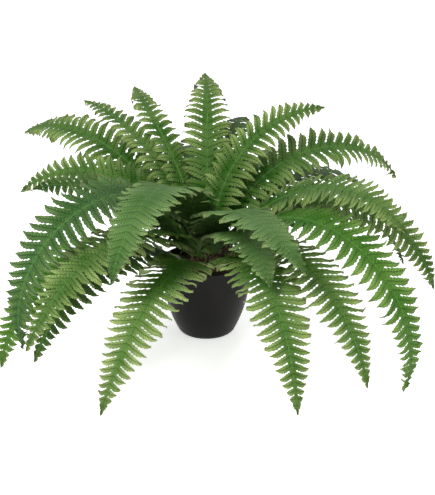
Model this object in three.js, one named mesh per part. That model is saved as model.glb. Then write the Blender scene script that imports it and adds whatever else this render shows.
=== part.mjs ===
// Potted fern: a bowl-shaped pot, its growing medium, a domed crown and thirty arching fronds.
// Millimetres, +Z up, the pot stands on z = 0 with its axis on the origin; -Y is the front.
import * as THREE from 'three';

// ---- driving dimensions -------------------------------------------------------------------
const POT_HEIGHT = 116;        // foot to rim
const POT_FOOT_RADIUS = 42;    // just above the rounded foot edge
const POT_RIM_RADIUS = 68;     // outside of the rim
const POT_BULGE = 2.4;         // how early the side swells out: 1 is a straight cone
const WALL = 2.6;              // pot wall and floor thickness
const FOOT_ROUND = 3.5;        // the flat foot stops this far inside the foot radius
const FOOT_EDGE = 1;           // rise of the slope between the flat foot and the side
const LIP = 0.8;               // slope round the top of the rim
const GAP = 0.3;               // clearance between one piece and the next
const FACET_ROOM = 0.3;        // more clearance where flat facets bridge the pot's curve
const FILL_DROP = 12;          // the growing medium lies this far below the rim
const FILL_EDGE = 2;           // slope round the top of the growing medium
const CROWN_RADIUS = 30;       // dome the stalks grow from
const CROWN_HEIGHT = 16;
const FOOT_OUT = 0.86;         // a low stalk leaves at this share of the crown's radius
const FOOT_IN = 0.24;          // an upright stalk leaves at this share of it
const LOW_RISE = 32;           // degrees: the rise that counts as a low stalk
const SEAT_ROOM = 0.1;         // more clearance under a stalk than GAP, for the dome's facets
const STALK_RADIUS = 1.5;      // at the foot of a frond
const STALK_TAPER = 0.6;       // share of that radius lost by the tip
const ARCH = 1.4;              // how late a frond bends: 1 bends evenly from foot to tip
const LEAF_THICKNESS = 0.9;
const FROND_SCALE = 1.0;       // multiplies every frond length and width
const FOLD = 0.16;             // the two halves of a blade rise this much per unit of width
const LEAN = 0.35;             // leaflet tips point forward this much per unit of width
const NOTCH = 0.66;            // depth of the outline between two leaflets
const BARE = 0.15;             // share of a frond that is bare stalk
const FILL_OUT = 0.12;         // share of the blade over which it fills out at its foot
const TIP_TAPER = 2.3;         // how late the blade narrows: higher keeps it wide for longer
const TIP_END = 0.985;         // the outline stops here, so that the tip keeps some width
const STATIONS = 24;           // cross-sections along a frond
const AROUND = 40;             // facets around the pot
const CROWN_AROUND = 28;       // facets around the crown

// Every frond: heading it leaves the crown by (0 is right, 90 is back), rise of the stalk above
// level, droop from stalk to tip, swing of the heading towards the tip, roll of the blade about
// its midrib (degrees), length and half width (mm).
const FRONDS = [
  // name                heading rise droop swing roll length half
  ['frond_top_1',         86,   88,    76,     9,    0,  320, 33],
  ['frond_top_2',        149,   81,    78,   -46,   -5,  328, 25],
  ['frond_top_3',         20,   88,    82,   -36,   45,  312, 32],
  ['frond_top_4',         72,   78,    90,     0,    0,  290, 30],
  ['frond_top_5',        166,   77,    72,   -26,  -10,  322, 30],
  ['frond_left_1',       155,   60,    88,   -15,  -25,  410, 38],
  ['frond_left_2',       180,   66,   108,     0,  -35,  330, 34],
  ['frond_left_3',       210,   58,    65,    -5,  -30,  305, 32],
  ['frond_left_4',       235,   64,   170,   -20,  -20,  515, 38],
  ['frond_left_5',       215,   34,   106,    20,  -15,  400, 36],
  ['frond_right_1',       10,   72,   128,     8,   30,  390, 38],
  ['frond_right_2',      -26,   58,    92,   -32,   20,  388, 36],
  ['frond_right_3',      -12,   52,   125,   -28,   25,  410, 36],
  ['frond_right_4',      -50,   52,   160,    12,   10,  530, 38],
  ['frond_front_1',      -57,   38,   103,    -9,    5,  438, 36],
  ['frond_front_2',      -70,   34,    98,   -11,    5,  435, 36],
  ['frond_front_3',      -74,   50,    84,     0,    0,  320, 32],
  ['frond_front_4',      -84,   55,    90,    32,    0,  410, 34],
  ['frond_front_5',     -105,   70,   134,   -10,    0,  430, 38],
  ['frond_front_6',     -118,   43,    97,    -8,   -5,  440, 38],
  ['frond_front_7',     -125,   35,    90,     2,   -5,  390, 34],
  ['frond_front_8',     -100,   31,    90,   -20,   -5,  430, 36],
  ['frond_front_9',     -104,   50,    48,   -34,    0,  200, 24],
  ['frond_back_1',       100,   55,   110,     0,    0,  370, 34],
  ['frond_back_2',       125,   48,   112,     5,    0,  370, 34],
  ['frond_back_3',        60,   55,   112,     0,    0,  370, 34],
  ['frond_back_4',        35,   50,   112,     0,    5,  380, 34],
  ['frond_back_5',        80,   38,   104,     0,    0,  360, 32],
  ['frond_back_6',       145,   36,   104,     0,    0,  360, 32],
  ['frond_back_7',        15,   36,   106,     0,    0,  360, 32],
];

const rad = THREE.MathUtils.degToRad;

function material(name, color, roughness) {
  const m = new THREE.MeshStandardMaterial({ color, roughness, metalness: 0 });
  m.name = name;
  return m;
}

function mesh(name, geometry, mat) {
  const piece = new THREE.Mesh(geometry, mat);
  piece.name = name;
  return piece;
}

// A closed body turned about Z from [radius, height] points, first and last on the axis,
// listed from the bottom up the outside.
function turned(points, around) {
  const position = [];
  const index = [];
  const rows = [];
  for (const [r, z] of points) {
    if (r === 0) {
      rows.push([position.length / 3]);
      position.push(0, 0, z);
      continue;
    }
    const row = [];
    for (let k = 0; k < around; k++) {
      const a = (2 * Math.PI * k) / around;
      row.push(position.length / 3);
      position.push(r * Math.cos(a), r * Math.sin(a), z);
    }
    rows.push(row);
  }
  for (let i = 0; i + 1 < rows.length; i++) joinRows(index, rows[i], rows[i + 1]);
  return geometryOf(position, index);
}

function joinRows(index, low, high) {
  const n = Math.max(low.length, high.length);
  for (let k = 0; k < n; k++) {
    const j = (k + 1) % n;
    if (low.length === 1) index.push(low[0], high[j], high[k]);
    else if (high.length === 1) index.push(low[k], low[j], high[0]);
    else index.push(low[k], low[j], high[j], low[k], high[j], high[k]);
  }
}

function geometryOf(position, index) {
  const g = new THREE.BufferGeometry();
  g.setAttribute('position', new THREE.Float32BufferAttribute(position, 3));
  g.setIndex(index);
  g.computeVertexNormals();
  return g;
}

// ---- pot, medium, crown -------------------------------------------------------------------
function potRadius(z) {
  const swell = 1 - Math.pow(1 - z / POT_HEIGHT, POT_BULGE);
  return POT_FOOT_RADIUS + (POT_RIM_RADIUS - POT_FOOT_RADIUS) * swell;
}

function potPoints() {
  const outer = [[0, 0], [POT_FOOT_RADIUS - FOOT_ROUND, 0], [POT_FOOT_RADIUS - FOOT_EDGE, FOOT_EDGE]];
  const inner = [];
  for (const share of [0.03, 0.12, 0.24, 0.38, 0.54, 0.72, 0.9]) {
    const z = share * POT_HEIGHT;
    outer.push([potRadius(z), z]);
    if (z > WALL + 1) inner.unshift([potRadius(z) - WALL, z]);
  }
  const lip = POT_HEIGHT - LIP;
  const rim = [[potRadius(lip), lip], [POT_RIM_RADIUS - LIP, POT_HEIGHT],
    [POT_RIM_RADIUS - WALL + 0.75 * LIP, POT_HEIGHT], [POT_RIM_RADIUS - WALL, lip]];
  return [...outer, ...rim, ...inner, [potRadius(WALL) - WALL, WALL], [0, WALL]];
}

function fillPoints() {
  const top = POT_HEIGHT - FILL_DROP;
  const inset = WALL + GAP + FACET_ROOM;
  const floor = WALL + GAP;
  const points = [[0, floor], [potRadius(floor) - inset - 1, floor]];
  for (const share of [0.12, 0.24, 0.38, 0.54, 0.72]) {
    points.push([potRadius(share * POT_HEIGHT) - inset, share * POT_HEIGHT]);
  }
  const edge = potRadius(top) - inset;
  points.push([edge, top - 0.75 * FILL_EDGE], [edge - FILL_EDGE, top], [0, top]);
  return points;
}

const CROWN_FLOOR = POT_HEIGHT - FILL_DROP + GAP;

function crownHeight(r) {
  return CROWN_HEIGHT * Math.sqrt(1 - Math.min(1, r / CROWN_RADIUS) ** 2);
}

function crownPoints() {
  const points = [[0, CROWN_FLOOR], [CROWN_RADIUS, CROWN_FLOOR]];
  for (const share of [0.95, 0.84, 0.68, 0.48, 0.25]) {
    points.push([share * CROWN_RADIUS, CROWN_FLOOR + crownHeight(share * CROWN_RADIUS)]);
  }
  return [...points, [0, CROWN_FLOOR + CROWN_HEIGHT]];
}

// ---- fronds -------------------------------------------------------------------------------
function along(f, s) {
  const bend = Math.pow(s, ARCH);
  const pitch = rad(f.rise - f.droop * bend);
  const head = rad(f.heading + f.swing * bend);
  const c = Math.cos(pitch);
  return { pitch, head, dir: new THREE.Vector3(c * Math.cos(head), c * Math.sin(head), Math.sin(pitch)) };
}

// Steep stalks leave near the middle of the crown, low ones near its edge, square to their run.
function footOf(f) {
  const upright = (f.rise - LOW_RISE) / (90 - LOW_RISE);
  const r = CROWN_RADIUS * (FOOT_OUT - (FOOT_OUT - FOOT_IN) * upright);
  const a = rad(f.heading);
  const z = crownHeight(r);
  const normal = new THREE.Vector3(
    Math.cos(a) * r / CROWN_RADIUS ** 2, Math.sin(a) * r / CROWN_RADIUS ** 2, z / CROWN_HEIGHT ** 2);
  const cos = normal.normalize().dot(along(f, 0).dir);
  const lift = (GAP + SEAT_ROOM + STALK_RADIUS * Math.sqrt(1 - cos * cos)) / cos;
  const foot = new THREE.Vector3(r * Math.cos(a), r * Math.sin(a), CROWN_FLOOR + z);
  return foot.addScaledVector(along(f, 0).dir, lift);
}

function midrib(f) {
  const points = [footOf(f)];
  for (let i = 0; i < STATIONS; i++) {
    const step = along(f, (i + 0.5) / STATIONS).dir.multiplyScalar(f.length / STATIONS);
    points.push(points[i].clone().add(step));
  }
  return points;
}

// Half width of the blade: none on the bare stalk, then filling out fast and tapering to the tip.
function halfWidth(f, i) {
  const u = (i / STATIONS - BARE) / (1 - BARE);
  if (u <= 0) return 0;
  const outline = (1 - Math.exp(-u / FILL_OUT)) * (1 - Math.min(u, TIP_END) ** TIP_TAPER);
  return f.half * outline * (i % 2 ? NOTCH : 1);
}

function section(f, i, centre) {
  const { head, dir } = along(f, i / STATIONS);
  const side = new THREE.Vector3(-Math.sin(head), Math.cos(head), 0);
  side.applyAxisAngle(dir, rad(f.roll));
  const up = new THREE.Vector3().crossVectors(dir, side);
  const rib = STALK_RADIUS * (1 - STALK_TAPER * i / STATIONS);
  const wide = Math.max(rib, halfWidth(f, i));
  const edge = wide > rib ? LEAF_THICKNESS / 2 : rib * 0.5;
  const at = (x, y) => centre.clone().addScaledVector(side, x).addScaledVector(up, y)
    .addScaledVector(dir, LEAN * (Math.abs(x) > rib ? Math.abs(x) : 0));
  const lift = FOLD * (wide - rib);
  return [at(-wide, lift + edge), at(-wide, lift - edge), at(0, -rib),
    at(wide, lift - edge), at(wide, lift + edge), at(0, rib)];
}

function frondGeometry(f) {
  const position = [];
  const index = [];
  midrib(f).forEach((centre, i) => section(f, i, centre).forEach(p => position.push(p.x, p.y, p.z)));
  for (let i = 0; i < STATIONS; i++) {
    for (let k = 0; k < 6; k++) {
      const a = 6 * i + k;
      const b = 6 * i + (k + 1) % 6;
      index.push(a, b, a + 6, b, b + 6, a + 6);
    }
  }
  const last = 6 * STATIONS;
  index.push(0, 5, 1, 1, 5, 2, 2, 5, 4, 2, 4, 3);
  index.push(last, last + 1, last + 5, last + 1, last + 2, last + 5);
  index.push(last + 2, last + 4, last + 5, last + 2, last + 3, last + 4);
  return geometryOf(position, index);
}

function frondOf([name, heading, rise, droop, swing, roll, length, half]) {
  return { name, heading, rise, droop, swing, roll, length: length * FROND_SCALE, half: half * FROND_SCALE };
}

// ---- the object ---------------------------------------------------------------------------
const potted = new THREE.Group();
potted.name = 'potted_fern';
potted.add(mesh('pot', turned(potPoints(), AROUND), material('pot_plastic', 0x242223, 0.4)));
potted.add(mesh('growing_medium', turned(fillPoints(), AROUND), material('medium', 0x2f241b, 0.95)));
potted.add(mesh('crown', turned(crownPoints(), CROWN_AROUND), material('crown_fibre', 0x4a3524, 0.85)));
for (const f of FRONDS.map(frondOf)) {
  potted.add(mesh(f.name, frondGeometry(f), material('leaf_' + f.name, 0x3f6b33, 0.6)));
}

export default potted;
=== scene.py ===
import math

import bmesh
import bpy
import numpy as np
from bpy.props import FloatProperty, FloatVectorProperty, IntProperty, PointerProperty
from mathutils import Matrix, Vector


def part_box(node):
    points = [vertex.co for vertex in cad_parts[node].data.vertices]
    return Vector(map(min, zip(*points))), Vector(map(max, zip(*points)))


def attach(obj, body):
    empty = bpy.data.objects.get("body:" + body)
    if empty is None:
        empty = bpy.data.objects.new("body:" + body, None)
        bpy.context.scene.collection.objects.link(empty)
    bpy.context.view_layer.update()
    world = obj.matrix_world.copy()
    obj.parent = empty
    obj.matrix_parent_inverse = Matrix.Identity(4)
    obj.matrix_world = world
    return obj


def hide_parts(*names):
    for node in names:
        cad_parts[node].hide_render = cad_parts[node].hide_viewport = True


bl_info = {
    "name": "Potted fern",
    "version": (1, 0, 0),
    "blender": (4, 5, 0),
    "location": "3D View > Sidebar > Fern",
    "description": "A fern of thirty arching fronds in a bowl-shaped pot, with its studio",
    "category": "Object",
}

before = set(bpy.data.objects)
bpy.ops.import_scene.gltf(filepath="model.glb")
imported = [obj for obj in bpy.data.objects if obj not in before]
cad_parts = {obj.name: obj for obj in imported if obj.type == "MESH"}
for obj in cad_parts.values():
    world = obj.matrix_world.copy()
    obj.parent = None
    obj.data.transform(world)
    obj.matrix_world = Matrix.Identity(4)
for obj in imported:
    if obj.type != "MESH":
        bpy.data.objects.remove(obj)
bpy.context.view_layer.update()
_, POT_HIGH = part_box("pot")
FILL_LOW, FILL_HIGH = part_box("growing_medium")
CROWN_LOW, CROWN_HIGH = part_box("crown")
STALK_RADIUS = 0.0015
CLEARANCE = 0.0004
MERGE = 1e-5  # points nearer than this are joined (metres)
FIRST_SEED = 100  # seed of the first frond's leaflets; each frond after it takes the next number

# Pot, in metres: radius of the rounded foot edge; two points of the flat foot, this far in from
# the foot radius; where the side starts above the foot and stops below the rim; and the room
# between the inner side and the floor. Then rows up the side, and points around.
FOOT_ROUND, FOOT_FLAT, FOOT_TURN = 0.0026, 0.007, 0.0030
SIDE_FROM, SIDE_BELOW_RIM, FLOOR_ROOM = 0.0032, 0.0014, 0.002
SIDE_ROWS, AROUND = 44, 128

# Growing medium: gap to the pot's wall, depth of its top under the node's box, width over which
# the lumps die away at the edge, and size of a lump (metres).
FILL_GAP, FILL_SINK, FILL_FADE, LUMP_SIZE = 0.0008, 0.0012, 0.004, 0.016

# Crown: waves around, with two ridges to a wave; how far they slant and how far the rings run
# from foot to top (radians); and the depth of the ridges as a share of the radius.
RIDGES, RIDGE_SLANT, RIDGE_RINGS, RIDGE_DEPTH = 11, 7, 14, 0.05

# Midribs: points along one and how far past the tip they run (share of the length), the power of
# the bend, and where a stalk leaves the crown: share of its radius for the lowest rise, what a
# steep one takes off that, the lowest rise and the range of rises (degrees).
SPINE_POINTS, PAST_TIP, BEND = 277, 1.15, 1.4
FOOT_LOW, FOOT_STEEP, LOW_RISE, RISE_RANGE = 0.86, 0.62, 32, 58

# Stalks: points along and around, where one ends (share of the length), and its radius at the tip
# and what the foot adds to that (shares of the stalk's radius), with the power of the taper.
STALK_POINTS, STALK_AROUND, STALK_END = 64, 8, 0.985
TIP_SHARE, FOOT_SHARE, STALK_TAPER = 0.22, 0.78, 0.7

# Blade: its outline, and its leaflets: fewest pairs, the length (metres) and power that scale
# them, rows over the fused band and over the free part, and the pitch at the foot over the mean
# pitch with half its fall to the tip.
FILL_OUT, TAPER = 0.11, 3.4
FEWEST_PAIRS, USUAL_LENGTH, PAIRS_POWER = 8, 0.4, 0.8
ROWS_BAND, ROWS_FREE = 2, 11
PITCH_FOOT, PITCH_FALL = 1.42, 0.42

# Where the last leaflets close into the tip (shares of the blade), how closed they get and the
# sliver left at their ends.
CLOSE_FROM, CLOSE_OVER, CLOSED, SLIVER = 0.94, 0.06, 0.97, 0.02

# A leaflet: spread of lengths, how far it is pinched at the band, width left at its point, lean
# added towards the frond's tip, spread of the lean, bow, and how far its end is drawn back (metres).
UNEVEN, PINCH, POINT = (-0.05, 0.04), 0.10, 0.03
LEAN_MORE, LEAN_SPREAD, BOW, DRAWN_BACK = 0.9, 0.035, 0.10, 0.004

# Its relief: fall of its edges and lift of one edge by a twist of 1 (metres), spread of the twist,
# least and most sag, height (metres) and run of the waves, range of their phase (radians), and the
# pitch (metres) under which the relief is scaled down.
ARCH_DOWN, TWIST_LIFT, TWIST_SPREAD, SAG = 0.0026, 0.0075, 0.30, (0.05, 0.26)
WAVE_HIGH, WAVE_RUN, PHASES, SMALL_PITCH = 0.0009, 17, 6, 0.008

STUDIO_FLAT, STUDIO_RISE = 9.0, 5.0  # the floor is flat to here, then curves up this far (metres)

# Every frond, as on the part: node, heading it leaves the crown by (0 is right, 90 is back),
# rise of the stalk above level, droop from stalk to tip, swing of the heading towards the tip,
# roll of the blade about its midrib (degrees), length and half width (metres), leaf colouring.
FRONDS = [
    ("frond_top_1", 86, 88, 76, 9, 0, 0.320, 0.033, "mid"),
    ("frond_top_2", 149, 81, 78, -46, -5, 0.328, 0.025, "mid"),
    ("frond_top_3", 20, 88, 82, -36, 45, 0.312, 0.032, "mid"),
    ("frond_top_4", 72, 78, 90, 0, 0, 0.290, 0.030, "deep"),
    ("frond_top_5", 166, 77, 72, -26, -10, 0.322, 0.030, "mid"),
    ("frond_left_1", 155, 60, 88, -15, -25, 0.410, 0.038, "mid"),
    ("frond_left_2", 180, 66, 108, 0, -35, 0.330, 0.034, "mid"),
    ("frond_left_3", 210, 58, 65, -5, -30, 0.305, 0.032, "deep"),
    ("frond_left_4", 235, 64, 170, -20, -20, 0.515, 0.038, "blue"),
    ("frond_left_5", 215, 34, 106, 20, -15, 0.400, 0.036, "vivid"),
    ("frond_right_1", 10, 72, 128, 8, 30, 0.390, 0.038, "mid"),
    ("frond_right_2", -26, 58, 92, -32, 20, 0.388, 0.036, "mid"),
    ("frond_right_3", -12, 52, 125, -28, 25, 0.410, 0.036, "mid"),
    ("frond_right_4", -50, 52, 160, 12, 10, 0.530, 0.038, "vivid"),
    ("frond_front_1", -57, 38, 103, -9, 5, 0.438, 0.036, "mid"),
    ("frond_front_2", -70, 34, 98, -11, 5, 0.435, 0.036, "mid"),
    ("frond_front_3", -74, 50, 84, 0, 0, 0.320, 0.032, "sage"),
    ("frond_front_4", -84, 55, 90, 32, 0, 0.410, 0.034, "sage"),
    ("frond_front_5", -105, 70, 134, -10, 0, 0.430, 0.038, "sage"),
    ("frond_front_6", -118, 43, 97, -8, -5, 0.440, 0.038, "mid"),
    ("frond_front_7", -125, 35, 90, 2, -5, 0.390, 0.034, "deep"),
    ("frond_front_8", -100, 31, 90, -20, -5, 0.430, 0.036, "fresh"),
    ("frond_front_9", -104, 50, 48, -34, 0, 0.200, 0.024, "vivid"),
    ("frond_back_1", 100, 55, 110, 0, 0, 0.370, 0.034, "deep"),
    ("frond_back_2", 125, 48, 112, 5, 0, 0.370, 0.034, "mid"),
    ("frond_back_3", 60, 55, 112, 0, 0, 0.370, 0.034, "mid"),
    ("frond_back_4", 35, 50, 112, 0, 5, 0.380, 0.034, "deep"),
    ("frond_back_5", 80, 38, 104, 0, 0, 0.360, 0.032, "mid"),
    ("frond_back_6", 145, 36, 104, 0, 0, 0.360, 0.032, "mid"),
    ("frond_back_7", 15, 36, 106, 0, 0, 0.360, 0.032, "deep"),
]


# ---- settings ------------------------------------------------------------------------------
def length(name, description, default, **more):
    return FloatProperty(name=name, description=description, default=default,
                         unit="LENGTH", subtype="DISTANCE", precision=4, **more)


def share(name, description, default):
    return FloatProperty(name=name, description=description, default=default,
                         min=0, max=1, subtype="FACTOR")


def colour(name, description, default):
    return FloatVectorProperty(name=name, description=description, default=default,
                               size=3, min=0, max=1, subtype="COLOR")


class FERN_PG_pot(bpy.types.PropertyGroup):
    height: length("Height", "From the foot to the rim", POT_HIGH.z)
    rim: length("Rim radius", "Outside of the rim", POT_HIGH.x)
    foot: length("Foot radius", "Just above the rounded foot edge", 0.042)
    bulge: FloatProperty(name="Bulge", description="How early the side swells out: 1 is a cone",
                         default=2.4, min=1, max=5)
    wall: length("Wall", "Thickness of the side and the floor", 0.0026)
    plastic: colour("Plastic", "Colour of the pot", (0.0050, 0.0045, 0.0041))


class FERN_PG_medium(bpy.types.PropertyGroup):
    lumps: length("Lumps", "Height of the lumps in the growing medium", 0.0016)
    earth: colour("Earth", "Colour of the growing medium", (0.030, 0.020, 0.012))
    fibre: colour("Fibre", "Colour of the crown's fibres", (0.085, 0.052, 0.028))


class FERN_PG_leaf(bpy.types.PropertyGroup):
    pairs: IntProperty(name="Leaflet pairs", description="On a frond of 0.4 m", default=27,
                       min=4, max=60)
    bare: share("Bare stalk", "Part of a frond that carries no leaflets", 0.08)
    fused: share("Fused band", "Part of the half width where the leaflets are one sheet", 0.2)
    joined: share("Joined band", "The same on the pale fronds, whose leaflets join further out",
                  0.60)
    tooth: share("Tooth depth", "How deep the teeth cut into a leaflet's edge", 0.2)
    widen: FloatProperty(name="Leaflet reach", description="Leaflet tips over the frond's width",
                         default=1.32, min=0.5, max=2, subtype="FACTOR")
    lean: share("Lean", "How far a leaflet leans towards the frond's tip", 0.30)
    fold: share("Fold", "How much the two halves of the blade rise to a V", 0.16)
    sheet: length("Thickness", "Thickness of the leaf", 0.0004)
    glow: share("Glow", "Light that passes through the leaf", 0.22)


class FERN_PG_stage(bpy.types.PropertyGroup):
    distance: length("Distance", "From the camera to what it looks at", 1.5)
    elevation: FloatProperty(name="Elevation", description="Camera's angle above level",
                             default=math.radians(21), subtype="ANGLE")
    aim: length("Aim height", "Height of what the camera looks at", 0.134)
    aside: length("Aim side", "How far right of the pot's axis it looks", 0.017)
    lens: FloatProperty(name="Lens", description="Focal length in millimetres", default=72)
    daylight: FloatProperty(name="Daylight", description="Strength of the light all round",
                            default=0.54, min=0, max=5)
    floor: colour("Floor", "Colour of the floor", (0.9, 0.9, 0.9))


# ---- meshes from arrays --------------------------------------------------------------------
def grid_faces(rows, columns, around=False, start=0):
    """Quads of a grid of rows by columns numbered row by row; around closes the columns."""
    last = columns if around else columns - 1
    i, j = np.meshgrid(np.arange(rows - 1), np.arange(last), indexing="ij")
    k = (j + 1) % columns
    quads = np.stack([i * columns + j, i * columns + k, (i + 1) * columns + k,
                      (i + 1) * columns + j], -1)
    return quads.reshape(-1, 4) + start


def mesh_piece(name, points, quads, layers=None):
    """An object at the origin from points and quads; layers are per-point numbers by name."""
    mesh = bpy.data.meshes.new(name)
    mesh.from_pydata(points.reshape(-1, 3).tolist(), [], quads.tolist())
    for key, values in (layers or {}).items():
        layer = mesh.attributes.new(key, "FLOAT", "POINT")
        layer.data.foreach_set("value", np.asarray(values, np.float32).ravel())
    mesh.polygons.foreach_set("use_smooth", np.ones(len(quads), bool))
    mesh.update()
    piece = bpy.data.objects.new(name, mesh)
    bpy.context.scene.collection.objects.link(piece)
    return piece


def clean(piece, angle=40):
    """Joins points that coincide, drops faces of no area and keeps edges over the angle sharp."""
    bm = bmesh.new()
    bm.from_mesh(piece.data)
    bmesh.ops.remove_doubles(bm, verts=bm.verts, dist=MERGE)
    bmesh.ops.dissolve_degenerate(bm, edges=bm.edges, dist=MERGE)
    bm.to_mesh(piece.data)
    bm.free()
    piece.data.set_sharp_from_angle(angle=math.radians(angle))


def turned(profile, around):
    """A profile of radius and height turned about Z: x = r cos a, y = r sin a, z = height."""
    r, z = np.asarray(profile, float).T
    a = np.arange(around) * 2 * np.pi / around
    points = np.stack([np.outer(r, np.cos(a)), np.outer(r, np.sin(a)),
                       np.repeat(z[:, None], around, 1)], -1)
    return points, grid_faces(len(r), around, around=True)


def finished(piece, node, slot, *materials):
    """Gives the piece its materials, ties it to the root body and hides the node's part; the slot is
    not used.
    """
    for m in materials:
        piece.data.materials.append(m)
    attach(piece, "root")
    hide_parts(node)
    return piece


# ---- shader node groups --------------------------------------------------------------------
def new_group(name, inputs, outputs):
    tree = bpy.data.node_groups.new(name, "ShaderNodeTree")
    for key, kind, value in inputs:
        socket = tree.interface.new_socket(key, in_out="INPUT", socket_type=kind)
        if value is not None:
            socket.default_value = value
    for key, kind in outputs:
        tree.interface.new_socket(key, in_out="OUTPUT", socket_type=kind)
    return tree, tree.nodes.new("NodeGroupInput"), tree.nodes.new("NodeGroupOutput")


def plug(tree, socket, value):
    """Links a socket to another socket, or sets it to a value."""
    if isinstance(value, bpy.types.NodeSocket):
        tree.links.new(value, socket)
    else:
        socket.default_value = value


def node(tree, kind, links=None, **settings):
    """A node with its settings; links sets its inputs from sockets or values, by name or number."""
    made = tree.nodes.new(kind)
    for key, value in settings.items():
        setattr(made, key, value)
    for key, value in (links or {}).items():
        plug(tree, made.inputs[key], value)
    return made


def blend(tree, how, factor, first, second):
    """Colour mixed from the first to the second by the factor."""
    made = node(tree, "ShaderNodeMix", data_type="RGBA", blend_type=how)
    for key, value in ((0, factor), (6, first), (7, second)):
        plug(tree, made.inputs[key], value)
    return made.outputs[2]


def ramp(tree, value, low, high, to_low=0.0, to_high=1.0):
    """A smooth step: to_low where the value is low, to_high where it is high."""
    made = node(tree, "ShaderNodeMapRange", {"Value": value, "From Min": low, "From Max": high,
                                             "To Min": to_low, "To Max": to_high},
                interpolation_type="SMOOTHSTEP")
    return made.outputs[0]


def maths(tree, how, first, second=0.0, third=0.0):
    made = node(tree, "ShaderNodeMath", {0: first, 1: second, 2: third}, operation=how)
    return made.outputs[0]


def mottle_group():
    """Soft patches and fine grain over a surface: two noises of different size, as masks."""
    tree, inp, out = new_group("Mottle", [
        ("Vector", "NodeSocketVector", None), ("Patch Scale", "NodeSocketFloat", 20.0),
        ("Grain Scale", "NodeSocketFloat", 400.0)],
        [("Patches", "NodeSocketFloat"), ("Grain", "NodeSocketFloat")])
    patches = node(tree, "ShaderNodeTexNoise", {"Vector": inp.outputs["Vector"],
                   "Scale": inp.outputs["Patch Scale"], "Detail": 3.0})
    grain = node(tree, "ShaderNodeTexNoise", {"Vector": inp.outputs["Vector"],
                 "Scale": inp.outputs["Grain Scale"], "Detail": 2.0})
    tree.links.new(ramp(tree, patches.outputs[0], .3, .7), out.inputs["Patches"])
    tree.links.new(grain.outputs[0], out.inputs["Grain"])
    return tree


def leaflet_group():
    """Marks of a leaflet from its own coordinates: its midrib, the side veins that fan from it,
    the fused band along the frond's midrib and the dry tip."""
    tree, inp, out = new_group("Leaflet marks", [
        ("Across", "NodeSocketFloat", 0.0), ("Rib", "NodeSocketFloat", 0.0),
        ("Veins", "NodeSocketFloat", 60.0)],
        [("Midrib", "NodeSocketFloat"), ("Veins", "NodeSocketFloat"),
         ("Band", "NodeSocketFloat"), ("Tip", "NodeSocketFloat")])
    across, rib = inp.outputs["Across"], inp.outputs["Rib"]
    tree.links.new(ramp(tree, rib, 0.0, 0.22, 1.0, 0.0), out.inputs["Midrib"])
    slant = maths(tree, "MULTIPLY_ADD", rib, -0.13, across)
    wave = maths(tree, "SINE", maths(tree, "MULTIPLY", slant, inp.outputs["Veins"]))
    tree.links.new(ramp(tree, wave, -1.0, 1.0), out.inputs["Veins"])
    tree.links.new(ramp(tree, across, 0.03, 0.17, 1.0, 0.0), out.inputs["Band"])
    tree.links.new(ramp(tree, across, 0.86, 1.0), out.inputs["Tip"])
    return tree


GROUPS = {}


def group(tree, name, links):
    if name not in GROUPS:
        GROUPS[name] = {"mottle": mottle_group, "leaflet": leaflet_group}[name]()
    made = tree.nodes.new("ShaderNodeGroup")
    made.node_tree = GROUPS[name]
    for key, value in links.items():
        plug(tree, made.inputs[key], value)
    return made.outputs


def new_material(name):
    material = bpy.data.materials.new(name)
    material.use_nodes = True
    tree = material.node_tree
    tree.nodes.clear()
    surface = node(tree, "ShaderNodeBsdfPrincipled")
    output = node(tree, "ShaderNodeOutputMaterial", {"Surface": surface.outputs[0]})
    place = node(tree, "ShaderNodeTexCoord").outputs["Object"]
    return material, tree, surface, output, place


def rgba(c, by=1.0):
    return (c[0] * by, c[1] * by, c[2] * by, 1.0)


def plastic_material(c):
    """Satin moulded plastic: a fine even grain, slight patches of sheen and a dusty bloom."""
    material, tree, surface, _, place = new_material("pot_satin_plastic")
    marks = group(tree, "mottle", {"Vector": place, "Patch Scale": 28.0, "Grain Scale": 1400.0})
    tint = blend(tree, "MIX", marks["Patches"], rgba(c), rgba(c, 1.35))
    tree.links.new(tint, surface.inputs["Base Color"])
    tree.links.new(ramp(tree, marks["Patches"], 0, 1, .40, .47), surface.inputs["Roughness"])
    bump = node(tree, "ShaderNodeBump", {"Height": marks["Grain"], "Strength": .12,
                                         "Distance": .0004})
    tree.links.new(bump.outputs[0], surface.inputs["Normal"])
    surface.inputs["Specular IOR Level"].default_value = .13
    return material


def earth_material(name, c, lighter, patch, grain, depth):
    """Dry crumbly or fibrous matter: dark and light bits mixed, rough, with a strong bump."""
    material, tree, surface, _, place = new_material(name)
    marks = group(tree, "mottle", {"Vector": place, "Patch Scale": patch, "Grain Scale": grain})
    tint = blend(tree, "MIX", marks["Patches"], rgba(c), rgba(c, lighter))
    bits = ramp(tree, marks["Grain"], .56, .66)
    tint = blend(tree, "MIX", bits, tint, rgba(c, lighter * 2.2))
    tree.links.new(tint, surface.inputs["Base Color"])
    tree.links.new(ramp(tree, marks["Grain"], 0, 1, .98, .8), surface.inputs["Roughness"])
    bump = node(tree, "ShaderNodeBump", {"Height": marks["Grain"], "Strength": .9,
                                         "Distance": depth})
    tree.links.new(bump.outputs[0], surface.inputs["Normal"])
    surface.inputs["Specular IOR Level"].default_value = .2
    return material


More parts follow.
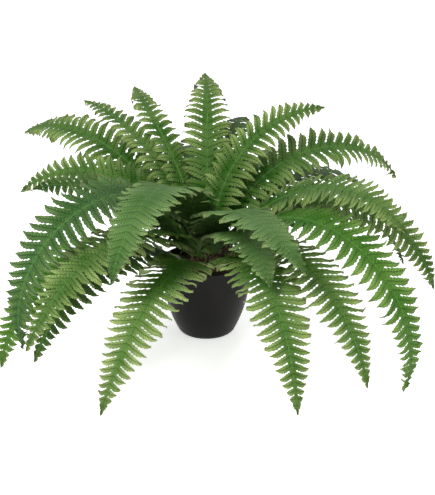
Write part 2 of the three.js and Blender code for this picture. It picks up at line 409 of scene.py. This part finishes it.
LEAF_TONES = {  # blade near the midrib, its paler tips, fused band, light through the blade
    "mid": ((.025, .102, .006), (.345, .455, .150), (.066, .155, .032), (.16, .40, .02)),
    "deep": ((.020, .074, .006), (.150, .240, .070), (.046, .110, .024), (.11, .30, .02)),
    "blue": ((.024, .088, .013), (.146, .238, .082), (.078, .166, .056), (.13, .34, .04)),
    "sage": ((.042, .126, .018), (.222, .342, .122), (.090, .188, .058), (.16, .40, .05)),
    "vivid": ((.026, .122, .004), (.245, .382, .095), (.052, .155, .018), (.18, .46, .02)),
    "fresh": ((.036, .124, .008), (.430, .520, .200), (.090, .190, .044), (.20, .44, .04)),
}

# How far each of these pales the leaf: out along a leaflet, along the frond, from leaflet to
# leaflet and in patches, over a base; then how strongly the marks are mixed in.
PALE_OUT, PALE_ALONG, PALE_EACH, PALE_PATCHES, PALE_BASE = 0.34, 0.22, 0.52, 0.30, -0.10
# The crease mix paints shade down the middle of each leaflet's top, and paints that middle paler on
# the underside.
BAND_MIX, VEIN_MIX, CREASE_SHADE_AND_PALE_RIB_MIX, TIP_MIX, DULL_MIX = 0.5, 0.44, 0.5, 0.4, 0.35
DRY_TIP, DULL_UNDER = (0.17, 0.13, 0.062, 1), (0.085, 0.105, 0.05, 1)


def leaf_material(tone, under, glow):
    """Leaf: green that pales towards its tips, in patches and from leaflet to leaflet, a fused
    band, painted shade down the middle of each leaflet (painted paler there on the underside),
    raised side veins and a dry tip; some light comes through. The underside is duller and smoother."""
    base, light, band, through = LEAF_TONES[tone]
    name = f"leaf_{tone}_{'under' if under else 'top'}"
    material, tree, surface, output, place = new_material(name)
    across = node(tree, "ShaderNodeAttribute", attribute_name="across").outputs["Fac"]
    rib = node(tree, "ShaderNodeAttribute", attribute_name="rib").outputs["Fac"]
    marks = group(tree, "mottle", {"Vector": place, "Patch Scale": 24.0, "Grain Scale": 700.0})
    lines = group(tree, "leaflet", {"Across": across, "Rib": rib, "Veins": 62.0})
    shade = node(tree, "ShaderNodeAttribute", attribute_name="shade").outputs["Fac"]
    run = node(tree, "ShaderNodeAttribute", attribute_name="run").outputs["Fac"]
    pale = maths(tree, "MULTIPLY_ADD", ramp(tree, across, .15, .95), PALE_OUT,
                 maths(tree, "MULTIPLY_ADD", ramp(tree, run, .15, .9), PALE_ALONG, PALE_BASE))
    pale = maths(tree, "MULTIPLY_ADD", shade, PALE_EACH, pale)
    patch = maths(tree, "MULTIPLY_ADD", marks["Patches"], PALE_PATCHES, pale)
    tint = blend(tree, "MIX", patch, rgba(base), rgba(light))
    tint = blend(tree, "MIX", maths(tree, "MULTIPLY", lines["Band"], BAND_MIX), tint, rgba(band))
    tint = blend(tree, "MIX", maths(tree, "MULTIPLY", lines["Veins"], VEIN_MIX), tint,
                 rgba(base, .45))
    # Painted shade down the middle of each leaflet on the top; on the underside the middle is
    # painted paler instead.
    tint = blend(tree, "MIX", maths(tree, "MULTIPLY", lines["Midrib"], CREASE_SHADE_AND_PALE_RIB_MIX), tint,
                 rgba(base, .5) if not under else rgba(light, 1.25))
    tint = blend(tree, "MIX", maths(tree, "MULTIPLY", lines["Tip"], TIP_MIX), tint,
                 DRY_TIP)
    if under:
        tint = blend(tree, "MIX", DULL_MIX, tint, DULL_UNDER)
    tree.links.new(tint, surface.inputs["Base Color"])
    tree.links.new(ramp(tree, marks["Grain"], 0, 1, .44, .62), surface.inputs["Roughness"])
    height = maths(tree, "MULTIPLY_ADD", lines["Veins"], .6, lines["Midrib"])
    height = maths(tree, "MULTIPLY_ADD", marks["Grain"], .35, height)
    bump = node(tree, "ShaderNodeBump", {"Height": height, "Strength": 1.0,
                                         "Distance": .0012 if not under else .0005})
    tree.links.new(bump.outputs[0], surface.inputs["Normal"])
    surface.inputs["Specular IOR Level"].default_value = .13
    clear = node(tree, "ShaderNodeBsdfTranslucent", {"Color": rgba(through)})
    mixed = node(tree, "ShaderNodeMixShader", {0: glow, 1: surface.outputs[0],
                                               2: clear.outputs[0]})
    tree.links.new(mixed.outputs[0], output.inputs["Surface"])
    return material


def stalk_material():
    """Stalk: woody brown at its foot turning green along the blade, with fine long grain."""
    material, tree, surface, _, place = new_material("stalk_green_brown")
    run = node(tree, "ShaderNodeAttribute", attribute_name="run").outputs["Fac"]
    marks = group(tree, "mottle", {"Vector": place, "Patch Scale": 90.0, "Grain Scale": 900.0})
    wood = blend(tree, "MIX", marks["Patches"], (.030, .019, .011, 1), (.062, .040, .020, 1))
    green = blend(tree, "MIX", marks["Patches"], (.040, .112, .016, 1), (.072, .165, .030, 1))
    tint = blend(tree, "MIX", ramp(tree, run, .05, .18), wood, green)
    tree.links.new(tint, surface.inputs["Base Color"])
    bump = node(tree, "ShaderNodeBump", {"Height": marks["Grain"], "Strength": .4,
                                         "Distance": .0003})
    tree.links.new(bump.outputs[0], surface.inputs["Normal"])
    surface.inputs["Roughness"].default_value = .62
    surface.inputs["Specular IOR Level"].default_value = .14
    return material


# ---- pot, growing medium, crown ------------------------------------------------------------
def pot_radius(z, p):
    """Foot plus the swell: foot + (rim - foot) (1 - (1 - z / height) to the power bulge)."""
    return p.foot + (p.rim - p.foot) * (1 - (1 - np.clip(z / p.height, 0, 1)) ** p.bulge)


def arc(centre, radius, start, stop, steps):
    """Points of a rounded edge: centre + radius (cos t, sin t) from start to stop degrees."""
    t = np.radians(np.linspace(start, stop, steps))
    return [(centre[0] + radius * np.cos(v), centre[1] + radius * np.sin(v)) for v in t]


class FERN_OT_pot(bpy.types.Operator):
    """Builds the bowl-shaped pot with its foot edge and rounded rim"""
    bl_idname = "fern.pot"
    bl_label = "Pot"

    def execute(self, context):
        p = context.scene.fern_pot
        z = np.linspace(SIDE_FROM, p.height - SIDE_BELOW_RIM, SIDE_ROWS)
        outer = list(zip(pot_radius(z, p), z))
        foot = [(0, 0), (p.foot - FOOT_FLAT, 0), (p.foot - FOOT_TURN, 0)]
        foot += arc((p.foot - FOOT_ROUND, FOOT_ROUND), FOOT_ROUND, -80, -10, 7)
        mid = p.rim - p.wall / 2
        rim = arc((mid, p.height - p.wall / 2), p.wall / 2, 0, 180, 11)
        inner = list(zip(pot_radius(z[::-1], p) - p.wall, z[::-1]))
        inner = [(r, h) for r, h in inner if h > p.wall + FLOOR_ROOM]
        floor = [(pot_radius(p.wall, p) - p.wall - FLOOR_ROOM, p.wall), (0, p.wall)]
        points, quads = turned(foot + outer + rim + inner + floor, AROUND)
        piece = mesh_piece("pot_body", points, quads)
        clean(piece)
        finished(piece, "pot", "pot_plastic", plastic_material(p.plastic))
        return {"FINISHED"}


def ripple(x, y, size, seed):
    """Lumps from -1 to 1: a sum of sine waves of falling size with seeded headings and phases."""
    rng = np.random.default_rng(seed)
    total, weight = np.zeros_like(x), 0
    for octave in range(5):
        a, shift = rng.uniform(0, 2 * np.pi, (2, 3))
        f, w = 2 * np.pi / size * 1.9 ** octave, .62 ** octave
        for k in range(3):
            total += w * np.sin(f * (x * np.cos(a[k]) + y * np.sin(a[k])) + shift[k])
        weight += 2 * w
    return total / weight


class FERN_OT_medium(bpy.types.Operator):
    """Builds the growing medium, lumpy on top, down to the floor of the pot"""
    bl_idname = "fern.medium"
    bl_label = "Growing medium"

    def execute(self, context):
        p, m = context.scene.fern_pot, context.scene.fern_medium
        low, top = FILL_LOW.z, FILL_HIGH.z
        side = np.linspace(low + .004, top - .003, 16)
        edge = pot_radius(top, p) - p.wall - FILL_GAP
        ring = edge * np.linspace(.985, 0, 52)
        profile = [(0, low), (pot_radius(low, p) - p.wall - .003, low)]
        profile += list(zip(pot_radius(side, p) - p.wall - FILL_GAP, side))
        profile += [(r, top - FILL_SINK) for r in ring]
        points, quads = turned(profile, AROUND)
        above = points[..., 2] > top - .002
        inside = np.clip((edge - np.hypot(points[..., 0], points[..., 1])) / FILL_FADE, 0, 1)
        points[..., 2] += above * inside * m.lumps * ripple(points[..., 0], points[..., 1],
                                                            LUMP_SIZE, 3)
        piece = mesh_piece("growing_medium_top", points, quads)
        clean(piece, angle=70)
        finished(piece, "growing_medium", "medium",
                 earth_material("medium_crumbs", m.earth, 1.7, 120.0, 620.0, .002))
        return {"FINISHED"}


class FERN_OT_crown(bpy.types.Operator):
    """Builds the domed crown with the ridges of old stalk feet"""
    bl_idname = "fern.crown"
    bl_label = "Crown"

    def execute(self, context):
        low, high = CROWN_LOW, CROWN_HIGH
        t = np.linspace(0, np.pi / 2, 30)
        height = high.z - low.z
        profile = [(0, low.z)] + list(zip(high.x * np.cos(t), low.z + height * np.sin(t)))
        points, quads = turned(profile, 120)
        around = np.arctan2(points[..., 1], points[..., 0])
        lift = (points[..., 2] - low.z) / height
        # The dome is x = wide cos t, z = tall sin t; slanted ridges, |sin| around times |sin| up,
        # are left standing where the rest is drawn in.
        ridges = np.sin(around * RIDGES + lift * RIDGE_SLANT)
        scales = np.abs(ridges) * np.abs(np.sin(lift * RIDGE_RINGS))
        shrink = 1 - RIDGE_DEPTH * (1 - scales) * (lift > .02) * (lift < .97)
        points[..., :2] *= shrink[..., None]
        piece = mesh_piece("crown_dome", points, quads)
        clean(piece, angle=60)
        finished(piece, "crown", "crown_fibre",
                 earth_material("crown_fibres", context.scene.fern_medium.fibre, 1.6, 150.0,
                                800.0, .0015))
        return {"FINISHED"}


# ---- fronds --------------------------------------------------------------------------------
class Spine:
    """A frond's midrib. At share s of its length the pitch is rise - droop s^1.4 and the
    heading is heading + swing s^1.4; the points are the running sum of those directions. The
    blade's side is level and square to the run, turned about the run by roll; up is square to
    both. It runs on straight past the tip, for the leaflets that reach past it."""

    def __init__(self, heading, rise, droop, swing, roll, length):
        s = np.linspace(0, PAST_TIP, SPINE_POINTS)
        bend = np.minimum(s, 1) ** BEND
        pitch = np.radians(rise - droop * bend)
        head = np.radians(heading + swing * bend)
        run = np.stack([np.cos(pitch) * np.cos(head), np.cos(pitch) * np.sin(head),
                        np.sin(pitch)], -1)
        step = (run[1:] + run[:-1]) / 2 * np.diff(s)[:, None] * length
        foot = self.foot(heading, rise, run[0])
        self.at = s * length
        self.points = foot + np.vstack([np.zeros(3), np.cumsum(step, 0)])
        side = np.stack([-np.sin(head), np.cos(head), np.zeros_like(head)], -1)
        up = np.cross(run, side)
        turn = math.radians(roll)
        self.side = side * math.cos(turn) + up * math.sin(turn)
        self.up = np.cross(run, self.side)
        self.length = length

    @staticmethod
    def foot(heading, rise, run):
        """Steep stalks leave near the middle of the crown, low ones near its edge."""
        wide, tall = CROWN_HIGH.x, CROWN_HIGH.z - CROWN_LOW.z
        r = wide * (FOOT_LOW - FOOT_STEEP * (rise - LOW_RISE) / RISE_RANGE)
        a = math.radians(heading)
        z = tall * math.sqrt(1 - (r / wide) ** 2)
        normal = np.array([math.cos(a) * r / wide ** 2, math.sin(a) * r / wide ** 2,
                           z / tall ** 2])
        c = float(normal @ run / np.linalg.norm(normal))
        lift = (CLEARANCE + STALK_RADIUS * math.sqrt(1 - c * c)) / c
        return np.array([r * math.cos(a), r * math.sin(a), CROWN_LOW.z + z]) + run * lift

    def place(self, along, aside, above):
        """A point at a length along the midrib, moved aside and above in its own frame."""
        def mix(v):
            return np.stack([np.interp(along, self.at, v[:, k]) for k in range(3)], -1)
        moved = mix(self.points) + mix(self.side) * aside[..., None]
        return moved + mix(self.up) * above[..., None]


def outline(u):
    """Half width of a blade from its foot, 0, to its tip, 1: it fills out as 1 - exp(-u / 0.11)
    and tapers as 1 - u^3.4."""
    u = np.clip(u, 0, 1)
    return (1 - np.exp(-u / FILL_OUT)) * (1 - u ** TAPER)


def blade(spine, half, band, leaf, rng):
    """The blade as one sheet cut into leaflets. A leaflet is a grid: its rows run out from the
    midrib, first over the fused band and then along the free leaflet, and its three columns are
    its two edges and its crease. Its half width is half the pitch, pinched behind the band, full
    at a third and pointed at the end, and every other row is drawn in to make the teeth."""
    scale = (spine.length / USUAL_LENGTH) ** PAIRS_POWER
    pairs = max(FEWEST_PAIRS, round(leaf.pairs * scale))
    start = leaf.bare * spine.length
    span = spine.length - start
    w = np.linspace(0, 1, pairs + 1)
    edges = start + span * w * (PITCH_FOOT - PITCH_FALL * w)
    centre, pitch = (edges[1:] + edges[:-1]) / 2, np.diff(edges)
    c = np.array([-1., 0., 1.])
    grids, quads, layers = [], [], {"across": [], "rib": [], "run": [], "shade": []}
    for hand in (-1, 1):
        at = centre[:, None] + c * pitch[:, None] / 2
        u = (at - start) / span
        width = half * leaf.widen * outline(u)
        close = np.clip((u - CLOSE_FROM) / CLOSE_OVER, 0, 1)
        fused = band + (CLOSED - band) * close
        t_band = np.arange(ROWS_BAND + 1) / ROWS_BAND
        x_band = (width * fused)[:, None, :] * t_band[None, :, None]
        a_band = at[:, None, :] + 0 * x_band
        t = np.arange(1, ROWS_FREE + 1) / ROWS_FREE
        w_mid = width[:, 1] * (1 + rng.uniform(*UNEVEN, pairs))
        f_mid = fused[:, 1]
        reach = w_mid[:, None] * (f_mid[:, None] + (1 - f_mid[:, None]) * t)
        x_free = reach[:, :, None] + 0 * c
        swell = np.sin(np.pi * np.clip(t * 1.4, 0, 1))
        shape = (1 - PINCH + PINCH * swell) * (1 - t ** 3) ** .9
        shape = shape * np.where(np.arange(ROWS_FREE) % 2, 1.0, 1 - leaf.tooth)
        shape[-1] = POINT
        full = CLOSED * (1 - t ** 4) + SLIVER
        shape = shape + (full - shape) * close[:, 1][:, None]
        a_free = centre[:, None, None] + c * (pitch[:, None] / 2 * shape)[:, :, None]
        x = np.concatenate([x_band, x_free], 1)
        a = np.concatenate([a_band, a_free], 1)
        limb = np.maximum(width[:, 1], 1e-4)[:, None, None]
        v = np.clip(x / limb, 0, 1.05)
        free = np.clip((v - band) / (1 - band), 0, 1)
        lean = leaf.lean * (1 + LEAN_MORE * u[:, 1] ** 2)[:, None, None]
        jitter = rng.normal(0, LEAN_SPREAD, pairs)[:, None, None]
        # Along: leant towards the tip, bowed by a half sine and drawn back at the end.
        a = a + x * (lean + jitter * free) + BOW * x * np.sin(np.pi * v) - DRAWN_BACK * free * v
        twist = rng.normal(0, TWIST_SPREAD, pairs)[:, None, None]
        sag = rng.uniform(*SAG, pairs)[:, None, None]
        phase = rng.uniform(0, PHASES, pairs)[:, None, None]
        wave = WAVE_HIGH * np.sin(WAVE_RUN * v + phase)
        # Up: raised by the fold, sagging as v^1.5, waved, its edges lowered and one side tilted.
        up = leaf.fold * x - sag * x * v ** 1.5 + wave * free
        up = up + free * np.minimum(1, pitch[:, None, None] / SMALL_PITCH) * (
            -ARCH_DOWN * np.abs(c) + TWIST_LIFT * c * twist)
        n_rows = x.shape[1]
        points = spine.place(a, hand * x, up)
        ids = grid_faces(n_rows, 3)
        base = sum(g.size // 3 for g in grids)
        block = (ids[None] + (np.arange(pairs) * n_rows * 3)[:, None, None]).reshape(-1, 4)
        quads.append((block if hand > 0 else block[:, ::-1]) + base)
        grids.append(points)
        layers["across"].append(v.ravel())
        layers["rib"].append((np.abs(c) + 0 * v).ravel())
        layers["run"].append((a / spine.length).ravel())
        layers["shade"].append((rng.uniform(0, 1, pairs)[:, None, None] * free + 0 * a).ravel())
    points = np.concatenate([g.reshape(-1, 3) for g in grids])
    return points, np.concatenate(quads), {k: np.concatenate(v) for k, v in layers.items()}


def stem(spine):
    """A round stalk along the midrib: its radius is the stalk's radius times 0.22 + 0.78 (1 - s)^0.7
    at share s of its length, and both ends are closed to a point."""
    s = np.linspace(0, STALK_END, STALK_POINTS)
    radius = STALK_RADIUS * (TIP_SHARE + FOOT_SHARE * (1 - s) ** STALK_TAPER)
    s = np.concatenate([[0], s, [STALK_END]])
    radius = np.concatenate([[1e-6], radius, [1e-6]])
    turn = np.arange(STALK_AROUND) * 2 * np.pi / STALK_AROUND
    along = np.repeat(s[:, None] * spine.length, STALK_AROUND, 1)
    points = spine.place(along, np.outer(radius, np.cos(turn)), np.outer(radius, np.sin(turn)))
    return points, grid_faces(len(s), STALK_AROUND, around=True), {
        "across": np.zeros(along.size), "rib": np.ones(along.size),
        "run": (along / spine.length).ravel(), "shade": np.zeros(along.size)}


def thickened(piece, thickness):
    """Gives the sheet its thickness, half to each side, with the underside in the next slot."""
    solid = piece.modifiers.new("thickness", "SOLIDIFY")
    solid.thickness, solid.offset, solid.material_offset = thickness, 0, 1
    solid.use_even_offset = False
    graph = bpy.context.evaluated_depsgraph_get()
    made = bpy.data.meshes.new_from_object(piece.evaluated_get(graph),
                                           preserve_all_data_layers=True, depsgraph=graph)
    old = piece.data
    piece.modifiers.clear()
    piece.data = made
    bpy.data.meshes.remove(old)


class FERN_OT_fronds(bpy.types.Operator):
    """Builds every frond: a stalk and a blade cut into toothed leaflets"""
    bl_idname = "fern.fronds"
    bl_label = "Fronds"

    def execute(self, context):
        leaf = context.scene.fern_leaf
        stalk = stalk_material()
        paints = {tone: [leaf_material(tone, under, leaf.glow) for under in (False, True)]
                  for tone in LEAF_TONES}
        for number, (name, *course, half, tone) in enumerate(FRONDS):
            rng = np.random.default_rng(FIRST_SEED + number)
            spine = Spine(*course)
            band = leaf.joined if tone == "sage" else leaf.fused
            piece = mesh_piece(name.replace("frond", "fern_leaf"),
                               *blade(spine, half, band, leaf, rng))
            for m in (*paints[tone], stalk):
                piece.data.materials.append(m)
            clean(piece, angle=75)
            thickened(piece, leaf.sheet)
            piece.data.set_sharp_from_angle(angle=math.radians(50))
            rod = mesh_piece("stalk", *stem(spine))
            for m in (*paints[tone], stalk):
                rod.data.materials.append(m)
            rod.data.polygons.foreach_set("material_index", np.full(len(rod.data.polygons), 2))
            clean(rod)
            with context.temp_override(active_object=piece, object=piece,
                                       selected_objects=[piece, rod],
                                       selected_editable_objects=[piece, rod]):
                bpy.ops.object.join()
            finished(piece, name, "leaf")
        return {"FINISHED"}


# ---- stage ---------------------------------------------------------------------------------
LAMPS = [  # name, place, point it faces, size (metres) and power (watts)
    ("key", (-.9, -1.5, 1.9), (0, 0, .2), .8, 64),
    ("fill", (1.5, -1.1, 1.2), (0, 0, .2), 1.2, 10),
    ("back", (.3, 1.6, 1.7), (0, 0, .25), 1.2, 12),
]
FLOOR_GLOW = 0.57  # light the floor gives off by itself, which keeps it pale
FLOOR_SINK = 0.0002  # the floor lies this far under the foot (metres)


def area_light(name, place, towards, size, power):
    """A round soft light turned to face a point."""
    lamp = bpy.data.lights.new(name, "AREA")
    lamp.shape, lamp.size, lamp.energy = "DISK", size, power
    holder = bpy.data.objects.new(name, lamp)
    holder.location = place
    aim = Vector(towards) - Vector(place)
    holder.rotation_euler = aim.to_track_quat("-Z", "Y").to_euler()
    bpy.context.scene.collection.objects.link(holder)


class FERN_OT_stage(bpy.types.Operator):
    """Lays the floor, which curves up far out, and sets the soft studio lights and the camera"""
    bl_idname = "fern.stage"
    bl_label = "Stage"

    def execute(self, context):
        s = context.scene.fern_stage
        world = bpy.data.worlds.new("studio")
        context.scene.world = world
        world.use_nodes = True
        background = world.node_tree.nodes["Background"]
        background.inputs["Color"].default_value = (1, 1, 1, 1)
        background.inputs["Strength"].default_value = s.daylight
        profile = [(0, -FLOOR_SINK), (1, -FLOOR_SINK)] + arc((STUDIO_FLAT, STUDIO_RISE), STUDIO_RISE,
                                                   -90, 0, 16)
        floor = mesh_piece("studio_floor", *turned(profile, 64))
        clean(floor, angle=80)
        material, tree, surface, _, place = new_material("floor_pale")
        marks = group(tree, "mottle", {"Vector": place, "Patch Scale": 3.0, "Grain Scale": 60.0})
        tint = blend(tree, "MIX", marks["Patches"], rgba(s.floor), rgba(s.floor, 1.01))
        tree.links.new(tint, surface.inputs["Base Color"])
        surface.inputs["Roughness"].default_value = .9
        surface.inputs["Emission Color"].default_value = (1, 1, 1, 1)
        surface.inputs["Emission Strength"].default_value = FLOOR_GLOW
        floor.data.materials.append(material)
        for lamp in LAMPS:
            area_light(*lamp)
        lens = bpy.data.cameras.new("camera")
        lens.lens, lens.sensor_width = s.lens, 36
        lens.clip_start, lens.clip_end = .05, 60
        camera = bpy.data.objects.new("camera", lens)
        camera.location = (s.aside, -s.distance * math.cos(s.elevation),
                           s.aim + s.distance * math.sin(s.elevation))
        camera.rotation_euler = (math.pi / 2 - s.elevation, 0, 0)
        context.scene.collection.objects.link(camera)
        context.scene.camera = camera
        context.scene.view_settings.view_transform = "Standard"
        return {"FINISHED"}


class FERN_PT_panel(bpy.types.Panel):
    """Lists the fern's steps and settings"""
    bl_idname = "FERN_PT_panel"
    bl_label = "Potted fern"
    bl_space_type = "VIEW_3D"
    bl_region_type = "UI"
    bl_category = "Fern"

    def draw(self, context):
        for step in STEPS:
            self.layout.operator(step.bl_idname)
        for settings in (context.scene.fern_pot, context.scene.fern_medium,
                         context.scene.fern_leaf, context.scene.fern_stage):
            column = self.layout.box().column()
            for key in settings.bl_rna.properties.keys():
                if key not in ("rna_type", "name"):
                    column.prop(settings, key)


SETTINGS = {"fern_pot": FERN_PG_pot, "fern_medium": FERN_PG_medium, "fern_leaf": FERN_PG_leaf,
            "fern_stage": FERN_PG_stage}
STEPS = (FERN_OT_stage, FERN_OT_pot, FERN_OT_medium, FERN_OT_crown, FERN_OT_fronds)


def register():
    for made in (*SETTINGS.values(), *STEPS, FERN_PT_panel):
        bpy.utils.register_class(made)
    for key, kind in SETTINGS.items():
        setattr(bpy.types.Scene, key, PointerProperty(type=kind))


def unregister():
    for key in SETTINGS:
        delattr(bpy.types.Scene, key)
    for made in (FERN_PT_panel, *STEPS[::-1], *list(SETTINGS.values())[::-1]):
        bpy.utils.unregister_class(made)


def main():
    register()
    bpy.ops.fern.stage()
    bpy.ops.fern.pot()
    bpy.ops.fern.medium()
    bpy.ops.fern.crown()
    bpy.ops.fern.fronds()


if __name__ == "__main__":
    main()
